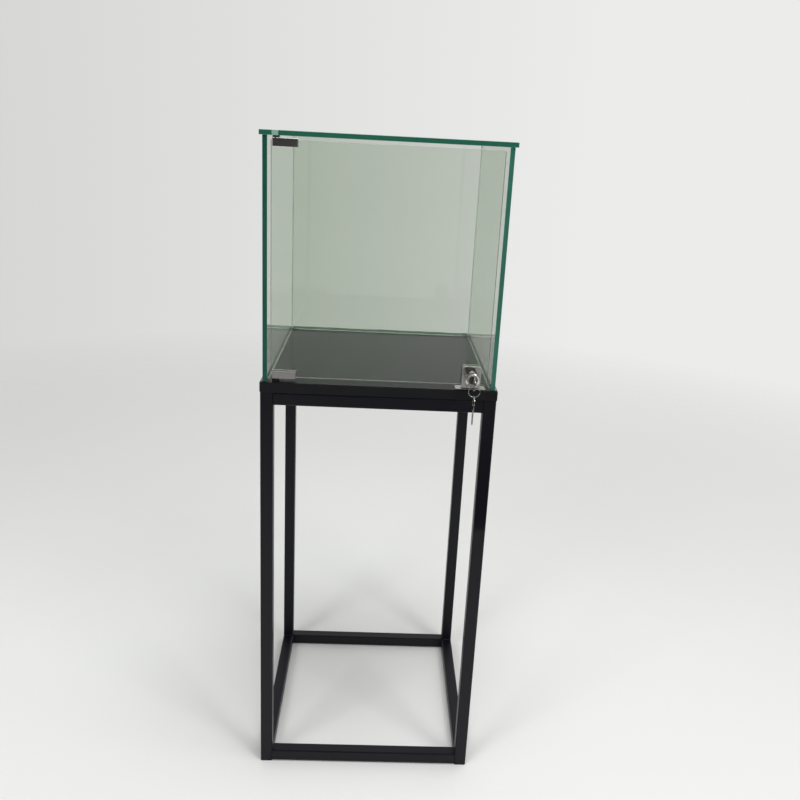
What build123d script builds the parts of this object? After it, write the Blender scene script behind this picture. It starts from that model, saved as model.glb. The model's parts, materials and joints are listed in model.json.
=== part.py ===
from build123d import *
import os
from math import cos, pi, radians, sqrt

os.makedirs("parts", exist_ok=True)

# A square glass showcase with one pivot-hung door, standing on a welded stand of
# square steel tube.  Sizes are in millimetres.  Seen from the door, X runs to the
# right, Y runs away to the back and Z runs up.  The origin is on the floor, under the
# middle of the deck.

# ---------------------------------------------------------------- stand
deck_size = 400.0  # side of the square deck, and of the top glass
deck_t = 18.0
deck_top = 768.0  # height of the display surface above the floor
deck_corner = 3.0
deck_round = 1.6
stand_size = 398.0  # across the outsides of the legs
tube = 22.0
tube_wall = 1.2
tube_corner = 2.5
foot_flange = 2.0
foot_plug_length = 15.0
foot_plug_wall = 2.0
foot_plug_corner = 0.8
foot_round = 0.6
fit_gap = 0.1  # clearance of pieces that slip into one another
tab_leg = 38.0
tab_t = 2.5
tab_drop = 3.0  # the tabs sit this far under the deck
tab_hole_inset = 12.0
tab_hole_radius = 2.5
deck_screw_radius = 2.0
deck_screw_bite = 13.0  # length of screw inside the deck
deck_screw_point = 0.9
pan_head_radius = 4.0
pan_head_height = 2.6
pan_head_round = 1.2
recess_depth = 1.3
recess_length = 4.4
recess_width = 0.9
hole_past_end = 1.0  # drilled holes run this far past the ends of their screws

# ---------------------------------------------------------------- glass case
glass_t = 7.6  # nominal 8 mm float glass
arris = 0.4  # small ground bevel along the glass edges
top_arris = 0.5
top_corner = 2.5
case_width = 390.0
case_depth = 392.0
case_height = 395.0
bead_width = 3.5
bead_height = 6.0
bead_hollow = 0.6  # how far the bead's face curves in
bead_short = 2.0  # the side beads stop short of the panes' ends by this, in all

# ---------------------------------------------------------------- door
door_t = 6.0
door_width = 366.0
door_setback = 9.0  # door face behind the front edges of the side glass
door_gap_top = 5.8
door_gap_bottom = 6.4
door_corner = 3.5

# ---------------------------------------------------------------- pivot hinges
pivot_inset = 8.0  # pivot axis in from the door's left edge
clip_length = 40.0
clip_height = 13.0
clip_end = 5.5  # clip's left end beyond the pivot axis
clip_front_t = 2.5
clip_rear_t = 4.5
clip_cap_t = 2.0
clip_corner = 1.0
clip_bevel = 0.5
liner_t = 0.4
liner_short = 0.6  # the liners are this much shorter than the clips
liner_low = 2.5  # and this much lower
pin_radius = 3.0
pin_clearance = 0.05
pin_reach = 5.2  # length of pin inside the glass or the deck
pin_bevel = 0.5
bush_radius = 5.0
bush_flange_radius = 5.75
bush_end_wall = 1.2
upper_bush_below = 0.3  # the upper bush ends this far under the glass's top face
lower_bush_depth = 9.0
set_screw_radius = 2.0
set_screw_socket = 1.15  # socket's radius across its corners
set_screw_socket_depth = 2.0
set_screw_rise = 5.5  # set screw axis in from the door's edge
set_screw_offsets = (12.0, 28.0)  # along the clip from the pivot axis

# ---------------------------------------------------------------- lock
lock_x = 153.5
lock_width = 32.0
lock_top = 808.0
lock_bottom = 770.4
lock_corner = 3.5
lock_front_t = 6.6
lock_rear_t = 5.0
lock_edge = 0.8
lock_screw_drop = 10.0  # set screws below the top of the lock body
lock_screw_spacing = 18.0
barrel_z = 791.5
barrel_radius = 12.5
barrel_length = 26.0
barrel_round = 4.0
plug_radius = 6.0
plug_head_radius = 6.95
plug_head_t = 1.3
plug_recess = 0.1
plug_bevel = 0.3
turn_gap = 0.05
pocket_wall = 1.6  # metal left in front of the bolt's pocket
pocket_rise = 9.6  # above the barrel's axis
cover_t = 0.8
cover_side = 2.5  # how far the cover laps past the pocket at each side
cover_above = 2.0
cover_below = 1.5  # the cover's lower edge above the web
lock_liner_drop = 1.0
bolt_t = 2.6
bolt_body_width = 18.0
bolt_tongue_width = 12.0
bolt_throw = 6.0
bolt_tip_clearance = 0.5
bolt_bevel = 0.5
bolt_stop_gap = 0.3  # shoulders above the web when the bolt is down
bolt_head_gap = 0.4
cam_t = 1.4
cam_pin_radius = 1.5
cam_turn = 90.0
tang_size = 5.0
slot_play = 0.2
keyway_width = 2.2
keyway_height = 8.0
keyway_depth = 21.3
wafer_count = 5
wafer_first = 3.5
wafer_pitch = 3.2
wafer_t = 1.0
wafer_width = 5.0
wafer_height = 10.2
wafer_play = 0.1
wafer_window_width = 2.7
wafer_window_height = 8.2

# ---------------------------------------------------------------- keys and ring
key_t = 2.0
blade_length = 20.0
blade_height = 7.6
blade_tip = 3.0
blade_nose = 0.5  # half the height of the blade's blunt end
cut_flat = 0.4  # half the length of each cut's flat bottom
key_cuts = (1.4, 0.7, 1.8, 1.0, 1.5)  # depth of each cut in the blade's edge
neck_length = 8.0
neck_height = 9.6
bow_radius = 11.5
bow_edge = 0.4
bow_centre = 19.0  # from the shoulder back to the middle of the bow
key_hole_radius = 2.3
key_hole_centre = 27.3  # from the shoulder back to the hole
key_groove_width = 1.3
key_groove_depth = 0.45
key_groove_rise = 1.0
key_groove_start = 1.0  # the grooves run from the tip to this far behind the shoulder
ring_radius = 9.4  # to the middle of the wire
ring_wire = 1.2
ring_thickness = 1.9  # two turns of flattened wire, side by side
ring_round = 0.5
ring_hang = 0.9  # wire's middle below the middle of the hole that it hangs in

# ---------------------------------------------------------------- strike
strike_length = 51.0
strike_depth = 20.0
strike_t = 1.2
strike_corner = 2.0
strike_bevel = 0.3
strike_setback = 4.0  # from the deck's front edge
strike_screw_spacing = 39.0
strike_screw_setback = 15.0
strike_slot_length = 13.0
strike_slot_width = 3.8
strike_pocket_depth = 9.0
strike_screw_radius = 1.5
strike_screw_head = 3.0
strike_screw_length = 12.0
strike_screw_point = 1.2
strike_recess_length = 3.2
strike_recess_width = 0.7
strike_recess_depth = 1.1

# ---------------------------------------------------------------- worked-out places
leg_centre = (stand_size - tube) / 2
frame_inner = stand_size / 2 - tube
deck_bottom = deck_top - deck_t
rail_length = 2 * frame_inner
wall_top = deck_top + case_height
case_front = -case_depth / 2
side_centre = (case_width - glass_t) / 2
inner_width = case_width - 2 * glass_t
door_front = case_front + door_setback
door_back = door_front + door_t
door_bottom = deck_top + door_gap_bottom
door_top = wall_top - door_gap_top
pivot_x = pivot_inset - door_width / 2
pivot_y = (door_front + door_back) / 2
clip_front = door_front - liner_t - clip_front_t
clip_rear = door_back + liner_t + clip_rear_t
clip_centre_x = pivot_x - clip_end + clip_length / 2
lock_front = door_front - liner_t - lock_front_t
lock_rear = door_back + liner_t + lock_rear_t
lock_centre_z = (lock_top + lock_bottom) / 2
slot_front = door_front - liner_t
slot_back = door_back + liner_t
lock_web_top = door_bottom - liner_t
barrel_face = lock_front - barrel_length
pocket_front = lock_front + pocket_wall
cover_front = slot_front - cover_t
bolt_back = cover_front - fit_gap
bolt_front = bolt_back - bolt_t
cam_back = bolt_front - fit_gap
cam_front = cam_back - cam_t
bolt_tip = lock_bottom + bolt_tip_clearance
cam_arm = bolt_throw / 2  # the pin starts this far above the axis and ends as far below
ring_y = barrel_face - key_hole_centre
ring_top_z = barrel_z - ring_hang
ring_centre_z = ring_top_z - ring_radius
ring_bottom_z = ring_centre_z - ring_radius
strike_y = strike_setback + strike_depth / 2 - deck_size / 2
strike_screw_y = strike_screw_setback - deck_size / 2
bolt_y = (bolt_front + bolt_back) / 2

corners = (
    ("front_left", -1, -1),
    ("front_right", 1, -1),
    ("rear_left", -1, 1),
    ("rear_right", 1, 1),
)


# ================================================================ stand
def tube_section():
    """Draw the stand's tube: a rounded square with its hollow taken out."""
    hollow = tube - 2 * tube_wall
    RectangleRounded(tube, tube, tube_corner)
    RectangleRounded(hollow, hollow, tube_corner - tube_wall, mode=Mode.SUBTRACT)


for place, side_x, side_y in corners:
    x = side_x * leg_centre
    y = side_y * leg_centre

    with BuildPart() as leg:
        with BuildSketch(Plane.XY.offset(foot_flange)):
            with Locations((x, y)):
                tube_section()
        extrude(amount=deck_bottom - foot_flange)
    leg.part.label = f"{place}_leg"
    export_step(leg.part, f"parts/{place}_leg.step")

    # Foot: a plastic end plug, hollow above, with a flange that the leg stands on.
    plug_size = tube - 2 * tube_wall - 2 * fit_gap
    plug_hollow = plug_size - 2 * foot_plug_wall
    with BuildPart() as foot:
        with BuildSketch():
            with Locations((x, y)):
                RectangleRounded(tube, tube, tube_corner)
        extrude(amount=foot_flange)
        fillet(foot.edges().group_by(Axis.Z)[0], foot_round)
        with BuildSketch(Plane.XY.offset(foot_flange)):
            with Locations((x, y)):
                RectangleRounded(plug_size, plug_size, tube_corner - tube_wall)
                RectangleRounded(plug_hollow, plug_hollow, foot_plug_corner, mode=Mode.SUBTRACT)
        extrude(amount=foot_plug_length)
    foot.part.label = f"{place}_foot"
    export_step(foot.part, f"parts/{place}_foot.step")

    # Tab: a triangle of plate, welded into the corner under the deck.
    tab_x = side_x * frame_inner
    tab_y = side_y * frame_inner
    with BuildPart() as tab:
        with BuildSketch(Plane.XY.offset(deck_bottom - tab_drop - tab_t)):
            with BuildLine():
                Polyline(
                    (tab_x, tab_y),
                    (tab_x - side_x * tab_leg, tab_y),
                    (tab_x, tab_y - side_y * tab_leg),
                    close=True,
                )
            make_face()
            with Locations((tab_x - side_x * tab_hole_inset, tab_y - side_y * tab_hole_inset)):
                Circle(tab_hole_radius, mode=Mode.SUBTRACT)
        extrude(amount=tab_t)
    tab.part.label = f"{place}_deck_tab"
    export_step(tab.part, f"parts/{place}_deck_tab.step")

top_rail_z = deck_bottom - tube / 2
bottom_rail_z = foot_flange + tube / 2
for level, z in (("top", top_rail_z), ("bottom", bottom_rail_z)):
    for place, side in (("front", -1), ("rear", 1)):
        with BuildPart() as cross_rail:
            with BuildSketch(Plane.YZ.offset(-rail_length / 2)):
                with Locations((side * leg_centre, z)):
                    tube_section()
            extrude(amount=rail_length)
        cross_rail.part.label = f"{level}_{place}_rail"
        export_step(cross_rail.part, f"parts/{level}_{place}_rail.step")

    for place, side in (("left", -1), ("right", 1)):
        with BuildPart() as side_rail:
            with BuildSketch(Plane.XZ.offset(-rail_length / 2)):
                with Locations((side * leg_centre, z)):
                    tube_section()
            extrude(amount=rail_length)
        side_rail.part.label = f"{level}_{place}_rail"
        export_step(side_rail.part, f"parts/{level}_{place}_rail.step")

# Deck screws: pan heads under the tabs, with a cross recess, driven up into the deck.
tab_underside = deck_bottom - tab_drop - tab_t
screw_spacing = 2 * (frame_inner - tab_hole_inset)
with BuildPart() as deck_screws:
    with BuildSketch(Plane.XY.offset(tab_underside - pan_head_height)):
        with GridLocations(screw_spacing, screw_spacing, 2, 2):
            Circle(pan_head_radius)
    extrude(amount=pan_head_height)
    fillet(deck_screws.edges().group_by(Axis.Z)[0], pan_head_round)
    with BuildSketch(Plane.XY.offset(tab_underside)):
        with GridLocations(screw_spacing, screw_spacing, 2, 2):
            Circle(deck_screw_radius)
    extrude(amount=deck_bottom + deck_screw_bite - tab_underside)
    chamfer(deck_screws.edges().group_by(Axis.Z)[-1], deck_screw_point)
    with BuildSketch(Plane.XY.offset(tab_underside - pan_head_height)):
        with GridLocations(screw_spacing, screw_spacing, 2, 2):
            Rectangle(recess_length, recess_width)
            Rectangle(recess_width, recess_length)
    extrude(amount=recess_depth, mode=Mode.SUBTRACT)
deck_screws.part.label = "deck_screws"
export_step(deck_screws.part, "parts/deck_screws.step")

# ================================================================ deck
with BuildPart() as display_deck:
    with BuildSketch(Plane.XY.offset(deck_bottom)):
        RectangleRounded(deck_size, deck_size, deck_corner)
    extrude(amount=deck_t)
    fillet(display_deck.edges().group_by(Axis.Z)[0], deck_round)
    fillet(display_deck.edges().group_by(Axis.Z)[-1], deck_round)
    # Pilot holes for the deck screws.
    with BuildSketch(Plane.XY.offset(deck_bottom)):
        with GridLocations(screw_spacing, screw_spacing, 2, 2):
            Circle(deck_screw_radius)
    extrude(amount=deck_screw_bite + hole_past_end, mode=Mode.SUBTRACT)
    # Hole for the lower pivot bush.
    with BuildSketch(Plane.XY.offset(deck_top)):
        with Locations((pivot_x, pivot_y)):
            Circle(bush_radius)
    extrude(amount=-lower_bush_depth, mode=Mode.SUBTRACT)
    # Pocket that the lock bolt drops into.
    with BuildSketch(Plane.XY.offset(deck_top)):
        with Locations((lock_x, bolt_y)):
            Rectangle(strike_slot_length, strike_slot_width)
    extrude(amount=-strike_pocket_depth, mode=Mode.SUBTRACT)
    # Countersunk holes for the strike's screws.
    with Locations(Plane.XY.offset(deck_top + strike_t)):
        with Locations((lock_x, strike_screw_y)):
            with GridLocations(strike_screw_spacing, 1, 2, 1):
                CounterSinkHole(strike_screw_radius, strike_screw_head, depth=strike_screw_length)
display_deck.part.label = "display_deck"
export_step(display_deck.part, "parts/display_deck.step")

# ================================================================ glass case
for place, side in (("left", -1), ("right", 1)):
    with BuildPart() as side_glass:
        with BuildSketch(Plane.XY.offset(deck_top)):
            with Locations((side * side_centre, 0)):
                Rectangle(glass_t, case_depth)
        extrude(amount=case_height)
        chamfer(side_glass.edges().filter_by(Axis.Z), arris)
    side_glass.part.label = f"{place}_glass"
    export_step(side_glass.part, f"parts/{place}_glass.step")

with BuildPart() as back_glass:
    with BuildSketch(Plane.XY.offset(deck_top)):
        with Locations((0, (case_depth - glass_t) / 2)):
            Rectangle(inner_width, glass_t)
    extrude(amount=case_height)
back_glass.part.label = "back_glass"
export_step(back_glass.part, "parts/back_glass.step")

with BuildPart() as top_glass:
    with BuildSketch(Plane.XY.offset(wall_top)):
        RectangleRounded(deck_size, deck_size, top_corner)
    extrude(amount=glass_t)
    chamfer(top_glass.edges().group_by(Axis.Z)[0], top_arris)
    chamfer(top_glass.edges().group_by(Axis.Z)[-1], top_arris)
    with BuildSketch(Plane.XY.offset(wall_top)):
        with Locations((pivot_x, pivot_y)):
            Circle(bush_radius)
    extrude(amount=glass_t, mode=Mode.SUBTRACT)
top_glass.part.label = "top_glass"
export_step(top_glass.part, "parts/top_glass.step")


def make_bead(plane, foot_x, outward, length):
    """Make a sealant fillet from the deck up the outside face of a pane."""
    slope = sqrt(bead_width**2 + bead_height**2)
    tip = foot_x + outward * bead_width
    middle = (
        foot_x + outward * (bead_width / 2 - bead_hollow * bead_height / slope),
        deck_top + bead_height / 2 - bead_hollow * bead_width / slope,
    )
    with BuildPart() as bead:
        with BuildSketch(plane.offset(-length / 2)):
            with BuildLine():
                Line((foot_x, deck_top), (tip, deck_top))
                ThreePointArc((tip, deck_top), middle, (foot_x, deck_top + bead_height))
                Line((foot_x, deck_top + bead_height), (foot_x, deck_top))
            make_face()
        extrude(amount=length)
    return bead


for place, side in (("left", -1), ("right", 1)):
    side_bead = make_bead(Plane.XZ, side * case_width / 2, side, case_depth - bead_short)
    side_bead.part.label = f"{place}_sealant_bead"
    export_step(side_bead.part, f"parts/{place}_sealant_bead.step")

rear_bead = make_bead(Plane.YZ, case_depth / 2, 1, inner_width)
rear_bead.part.label = "rear_sealant_bead"
export_step(rear_bead.part, "parts/rear_sealant_bead.step")

# ================================================================ door
with BuildPart() as door_glass:
    with BuildSketch(Plane.XZ.offset(-door_front)):
        with Locations((0, (door_top + door_bottom) / 2)):
            RectangleRounded(door_width, door_top - door_bottom, door_corner)
    extrude(amount=-door_t)
    chamfer(door_glass.edges().group_by(Axis.Y)[0], arris)
    chamfer(door_glass.edges().group_by(Axis.Y)[-1], arris)
door_glass.part.label = "door_glass"
export_step(door_glass.part, "parts/door_glass.step")

# ================================================================ pivot hinges
# The upper and the lower hinge are the same, turned over: `up` is +1 at the door's top
# edge and -1 at its bottom edge.
set_screw_places = [pivot_x + offset for offset in set_screw_offsets]
for place, up, door_edge, seat, bush_depth in (
    ("upper", 1, door_top, wall_top, glass_t - upper_bush_below),
    ("lower", -1, door_bottom, deck_top, lower_bush_depth),
):
    cap_inside = door_edge + up * liner_t
    cap_outside = cap_inside + up * clip_cap_t
    clip_mid_z = cap_outside - up * clip_height / 2
    slot_mid_z = cap_inside - up * clip_height
    screw_z = door_edge - up * set_screw_rise

    # Clip: a channel over the edge of the glass, with two tapped holes in its back.
    with BuildPart() as clip:
        with BuildSketch(Plane.XZ.offset(-clip_front)):
            with Locations((clip_centre_x, clip_mid_z)):
                RectangleRounded(clip_length, clip_height, clip_corner)
        extrude(amount=clip_front - clip_rear)
        chamfer(clip.edges().group_by(Axis.Y)[0], clip_bevel)
        with Locations((clip_centre_x, pivot_y, slot_mid_z)):
            Box(clip_length + 1, slot_back - slot_front, 2 * clip_height, mode=Mode.SUBTRACT)
        with BuildSketch(Plane.XZ.offset(-slot_back)):
            with Locations(*[(screw_x, screw_z) for screw_x in set_screw_places]):
                Circle(set_screw_radius)
        extrude(amount=slot_back - clip_rear, mode=Mode.SUBTRACT)
        with BuildSketch(Plane.XY.offset(cap_inside)):
            with Locations((pivot_x, pivot_y)):
                Circle(pin_radius)
        extrude(amount=up * clip_cap_t, mode=Mode.SUBTRACT)
    clip.part.label = f"{place}_hinge_clip"
    export_step(clip.part, f"parts/{place}_hinge_clip.step")

    # Liner: a thin plastic channel between the clip and the glass.
    liner_height = clip_height - liner_low
    with BuildPart() as liner:
        with Locations((clip_centre_x, pivot_y, cap_inside - up * liner_height / 2)):
            Box(clip_length - liner_short, slot_back - slot_front, liner_height)
        with Locations((clip_centre_x, pivot_y, door_edge - up * clip_height)):
            Box(clip_length + 1, door_t, 2 * clip_height, mode=Mode.SUBTRACT)
    liner.part.label = f"{place}_hinge_liner"
    export_step(liner.part, f"parts/{place}_hinge_liner.step")

    # Pin: riveted into the clip's cap, and turning in the bush.
    with BuildPart() as pin:
        with BuildSketch(Plane.XY.offset(cap_inside)):
            with Locations((pivot_x, pivot_y)):
                Circle(pin_radius)
        extrude(amount=seat - cap_inside + up * pin_reach)
        chamfer(pin.edges().group_by(Axis.Z)[-1 if up > 0 else 0], pin_bevel)
    pin.part.label = f"{place}_pivot_pin"
    export_step(pin.part, f"parts/{place}_pivot_pin.step")

    # Bush: a flanged sleeve with a closed end, set in the top glass or in the deck.
    flange_face = cap_outside + up * 2 * fit_gap
    with BuildPart() as bush:
        with BuildSketch(Plane.XY.offset(seat)):
            with Locations((pivot_x, pivot_y)):
                Circle(bush_flange_radius)
        extrude(amount=flange_face - seat)
        with BuildSketch(Plane.XY.offset(seat)):
            with Locations((pivot_x, pivot_y)):
                Circle(bush_radius)
        extrude(amount=up * bush_depth)
        with BuildSketch(Plane.XY.offset(flange_face)):
            with Locations((pivot_x, pivot_y)):
                Circle(pin_radius + pin_clearance)
        bore_end = seat + up * (bush_depth - bush_end_wall)
        extrude(amount=bore_end - flange_face, mode=Mode.SUBTRACT)
    bush.part.label = f"{place}_pivot_bush"
    export_step(bush.part, f"parts/{place}_pivot_bush.step")


def make_set_screws(places, tip_y, tail_y):
    """Make grub screws along Y at (x, z) places, each with a hexagon socket in its tail."""
    with BuildPart() as set_screws:
        with BuildSketch(Plane.XZ.offset(-tip_y)):
            with Locations(*places):
                Circle(set_screw_radius)
        extrude(amount=tip_y - tail_y)
        with BuildSketch(Plane.XZ.offset(-tail_y)):
            with Locations(*places):
                RegularPolygon(set_screw_socket, 6)
        extrude(amount=set_screw_socket_depth, mode=Mode.SUBTRACT)
    return set_screws


hinge_screw_places = [
    (screw_x, screw_z)
    for screw_x in set_screw_places
    for screw_z in (door_top - set_screw_rise, door_bottom + set_screw_rise)
]
hinge_set_screws = make_set_screws(hinge_screw_places, slot_back, clip_rear)
hinge_set_screws.part.label = "hinge_set_screws"
export_step(hinge_set_screws.part, "parts/hinge_set_screws.step")

# ================================================================ lock
barrel_axis = Axis((lock_x, lock_front, barrel_z), (0, 1, 0))
barrel_plane = Plane(origin=(lock_x, lock_front, barrel_z), x_dir=(1, 0, 0), z_dir=(0, 0, 1))
pocket_width = bolt_body_width + 2 * fit_gap
pocket_top = barrel_z + pocket_rise
cover_width = pocket_width + 2 * cover_side
cover_bottom = lock_web_top + cover_below
cover_top = pocket_top + cover_above
lock_screw_z = lock_top - lock_screw_drop
lock_screw_places = [
    (lock_x - lock_screw_spacing / 2, lock_screw_z),
    (lock_x + lock_screw_spacing / 2, lock_screw_z),
]

# Body: a channel that grips the door's bottom edge, with the barrel on its front and the
# bolt's pocket hidden behind it.
with BuildPart() as lock_body:
    with BuildSketch(Plane.XZ.offset(-lock_front)):
        with Locations((lock_x, lock_centre_z)):
            RectangleRounded(lock_width, lock_top - lock_bottom, lock_corner)
    extrude(amount=lock_front - lock_rear)
    fillet(lock_body.edges().group_by(Axis.Y)[0], lock_edge)
    fillet(lock_body.edges().group_by(Axis.Y)[-1], lock_edge)
    # Slot for the glass.
    slot_height = lock_top - lock_web_top
    with Locations((lock_x, pivot_y, lock_web_top + slot_height / 2)):
        Box(lock_width + 1, slot_back - slot_front, slot_height, mode=Mode.SUBTRACT)
    # Barrel, with a round shoulder.
    straight = barrel_length - barrel_round
    with BuildSketch(barrel_plane):
        with BuildLine():
            Line((0, 0), (barrel_radius, 0))
            Line((barrel_radius, 0), (barrel_radius, -straight))
            RadiusArc(
                (barrel_radius, -straight),
                (barrel_radius - barrel_round, -barrel_length),
                -barrel_round,
            )
            Line((barrel_radius - barrel_round, -barrel_length), (0, -barrel_length))
            Line((0, -barrel_length), (0, 0))
        make_face()
    revolve(axis=barrel_axis)
    # Bore for the plug, and a step for its head.
    with BuildSketch(Plane.XZ.offset(-barrel_face)):
        with Locations((lock_x, barrel_z)):
            Circle(plug_radius + turn_gap)
    extrude(amount=barrel_face - pocket_front, mode=Mode.SUBTRACT)
    with BuildSketch(Plane.XZ.offset(-barrel_face)):
        with Locations((lock_x, barrel_z)):
            Circle(plug_head_radius + turn_gap)
    extrude(amount=-(plug_recess + plug_head_t + turn_gap), mode=Mode.SUBTRACT)
    # Pocket for the cam and the bolt, and a shallow seat for its cover.
    with Locations((lock_x, (pocket_front + slot_front) / 2, (lock_web_top + pocket_top) / 2)):
        Box(
            pocket_width,
            slot_front - pocket_front,
            pocket_top - lock_web_top,
            mode=Mode.SUBTRACT,
        )
    with Locations((lock_x, slot_front - cover_t / 2, (cover_bottom + cover_top) / 2)):
        Box(cover_width, cover_t, cover_top - cover_bottom, mode=Mode.SUBTRACT)
    # Slot that the bolt's tongue comes out through.
    with Locations((lock_x, bolt_y, (lock_bottom + lock_web_top) / 2)):
        Box(
            bolt_tongue_width + 2 * fit_gap,
            bolt_t + 2 * fit_gap,
            lock_web_top - lock_bottom,
            mode=Mode.SUBTRACT,
        )
    # Tapped holes in the back wall.
    with BuildSketch(Plane.XZ.offset(-slot_back)):
        with Locations(*lock_screw_places):
            Circle(set_screw_radius)
    extrude(amount=slot_back - lock_rear, mode=Mode.SUBTRACT)
lock_body.part.label = "lock_body"
export_step(lock_body.part, "parts/lock_body.step")

# Cover: closes the pocket behind the bolt.
with BuildPart() as lock_cover:
    with Locations((lock_x, slot_front - cover_t / 2, (cover_bottom + cover_top) / 2)):
        Box(cover_width, cover_t, cover_top - cover_bottom)
lock_cover.part.label = "lock_cover"
export_step(lock_cover.part, "parts/lock_cover.step")

# Liner: a thin plastic channel between the lock body and the glass.
with BuildPart() as lock_liner:
    liner_height = lock_top - lock_liner_drop - lock_web_top
    with Locations((lock_x, pivot_y, lock_web_top + liner_height / 2)):
        Box(lock_width - liner_short, slot_back - slot_front, liner_height)
    with Locations((lock_x, pivot_y, door_bottom + liner_height / 2)):
        Box(lock_width, door_t, liner_height, mode=Mode.SUBTRACT)
lock_liner.part.label = "lock_liner"
export_step(lock_liner.part, "parts/lock_liner.step")

lock_set_screws = make_set_screws(lock_screw_places, slot_back, lock_rear)
lock_set_screws.part.label = "lock_set_screws"
export_step(lock_set_screws.part, "parts/lock_set_screws.step")

# Plug: the part of the lock that the key turns.  It has a keyway, a cross slot for each
# wafer and a square tang for the cam.
plug_face = barrel_face + plug_recess
wafer_places = [barrel_face + wafer_first + wafer_pitch * i for i in range(wafer_count)]
with BuildPart() as lock_plug:
    with BuildSketch(Plane.XZ.offset(-plug_face)):
        with Locations((lock_x, barrel_z)):
            Circle(plug_head_radius)
    extrude(amount=-plug_head_t)
    chamfer(lock_plug.edges().group_by(Axis.Y)[0], plug_bevel)
    with BuildSketch(Plane.XZ.offset(-plug_face - 1)):
        with Locations((lock_x, barrel_z)):
            Circle(plug_radius)
    extrude(amount=plug_face + 1 - cam_front)
    with BuildSketch(Plane.XZ.offset(-cam_front)):
        with Locations((lock_x, barrel_z)):
            Rectangle(tang_size, tang_size)
    extrude(amount=-cam_t)
    with BuildSketch(Plane.XZ.offset(-plug_face)):
        with Locations((lock_x, barrel_z)):
            Rectangle(keyway_width, keyway_height)
    extrude(amount=-keyway_depth, mode=Mode.SUBTRACT)
    with Locations(*[(lock_x, wafer_y, barrel_z) for wafer_y in wafer_places]):
        Box(
            wafer_width + 2 * wafer_play,
            wafer_t + wafer_play,
            wafer_height + 2 * wafer_play,
            mode=Mode.SUBTRACT,
        )
lock_plug.part.label = "lock_plug"
export_step(lock_plug.part, "parts/lock_plug.step")

# Wafers: brass plates that the key's cuts line up.
with BuildPart() as lock_wafers:
    with Locations(*[(lock_x, wafer_y, barrel_z) for wafer_y in wafer_places]):
        Box(wafer_width, wafer_t, wafer_height)
        Box(wafer_window_width, wafer_t, wafer_window_height, mode=Mode.SUBTRACT)
lock_wafers.part.label = "lock_wafers"
export_step(lock_wafers.part, "parts/lock_wafers.step")

# Cam: a disc on the plug's tang, whose pin drives the bolt down a slot.
with BuildPart() as lock_cam:
    with BuildSketch(Plane.XZ.offset(-cam_front)):
        with Locations((lock_x, barrel_z)):
            Circle(plug_radius - turn_gap)
            Rectangle(tang_size, tang_size, mode=Mode.SUBTRACT)
    extrude(amount=-cam_t)
    with BuildSketch(Plane.XZ.offset(-cam_back)):
        with Locations((lock_x + cam_arm, barrel_z + cam_arm)):
            Circle(cam_pin_radius)
    extrude(amount=-bolt_t)
lock_cam.part.label = "lock_cam"
export_step(lock_cam.part, "parts/lock_cam.step")

# Bolt: a flat T.  The cam's pin swings through a quarter turn about the level, so the
# slot is as long as the pin's sideways travel.
pin_swing = cam_arm / cos(radians(cam_turn / 2))
slot_near = lock_x + cam_arm - cam_pin_radius - slot_play
slot_far = lock_x + pin_swing + cam_pin_radius + slot_play
bolt_shoulder = lock_web_top + bolt_throw + bolt_stop_gap
bolt_head_top = pocket_top - bolt_head_gap
with BuildPart() as lock_bolt:
    with BuildSketch(Plane.XZ.offset(-bolt_front)):
        with Locations((lock_x, (bolt_shoulder + bolt_head_top) / 2)):
            Rectangle(bolt_body_width, bolt_head_top - bolt_shoulder)
        with Locations((lock_x, (bolt_tip + bolt_shoulder) / 2)):
            Rectangle(bolt_tongue_width, bolt_shoulder - bolt_tip)
        with Locations(((slot_near + slot_far) / 2, barrel_z + cam_arm)):
            Rectangle(
                slot_far - slot_near,
                2 * (cam_pin_radius + slot_play),
                mode=Mode.SUBTRACT,
            )
    extrude(amount=-bolt_t)
    chamfer(lock_bolt.edges().group_by(Axis.Z)[0].filter_by(Axis.X), bolt_bevel)
lock_bolt.part.label = "lock_bolt"
export_step(lock_bolt.part, "parts/lock_bolt.step")


# ================================================================ keys and ring
def make_key(key_plane):
    """Make a key.  On its plane x runs from the shoulder to the tip of the blade."""
    half = blade_height / 2
    with BuildPart() as blank:
        with BuildSketch(key_plane):
            with Locations((-bow_centre, 0)):
                Circle(bow_radius)
                Circle(bow_radius - bow_edge, mode=Mode.SUBTRACT)
        extrude(amount=key_t / 2 - bow_edge, both=True)
        with BuildSketch(key_plane):
            with Locations((-bow_centre, 0)):
                Circle(bow_radius - bow_edge)
            with Locations((-neck_length / 2, 0)):
                Rectangle(neck_length, neck_height)
            with BuildLine():
                Polyline(
                    (0, half),
                    (blade_length - blade_tip, half),
                    (blade_length, blade_nose),
                    (blade_length, -blade_nose),
                    (blade_length - blade_tip, -half),
                    (0, -half),
                    close=True,
                )
            make_face()
            for i, cut in enumerate(key_cuts):
                middle = wafer_first + wafer_pitch * i
                with BuildLine():
                    Polyline(
                        (middle - cut - cut_flat, -half),
                        (middle - cut_flat, cut - half),
                        (middle + cut_flat, cut - half),
                        (middle + cut + cut_flat, -half),
                        close=True,
                    )
                make_face(mode=Mode.SUBTRACT)
            with Locations((-key_hole_centre, 0)):
                Circle(key_hole_radius, mode=Mode.SUBTRACT)
        extrude(amount=key_t / 2, both=True)
        # A milled groove along each side of the blade.
        groove_length = blade_length - blade_tip + key_groove_start
        for side in (-1, 1):
            with BuildSketch(key_plane.offset(side * key_t / 2)):
                with Locations((groove_length / 2 - key_groove_start, side * key_groove_rise)):
                    Rectangle(groove_length, key_groove_width)
            extrude(amount=-side * key_groove_depth, mode=Mode.SUBTRACT)
    return blank


key = make_key(Plane(origin=(lock_x, barrel_face, barrel_z), x_dir=(0, 1, 0), z_dir=(1, 0, 0)))
key.part.label = "key"
export_step(key.part, "parts/key.step")

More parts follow.
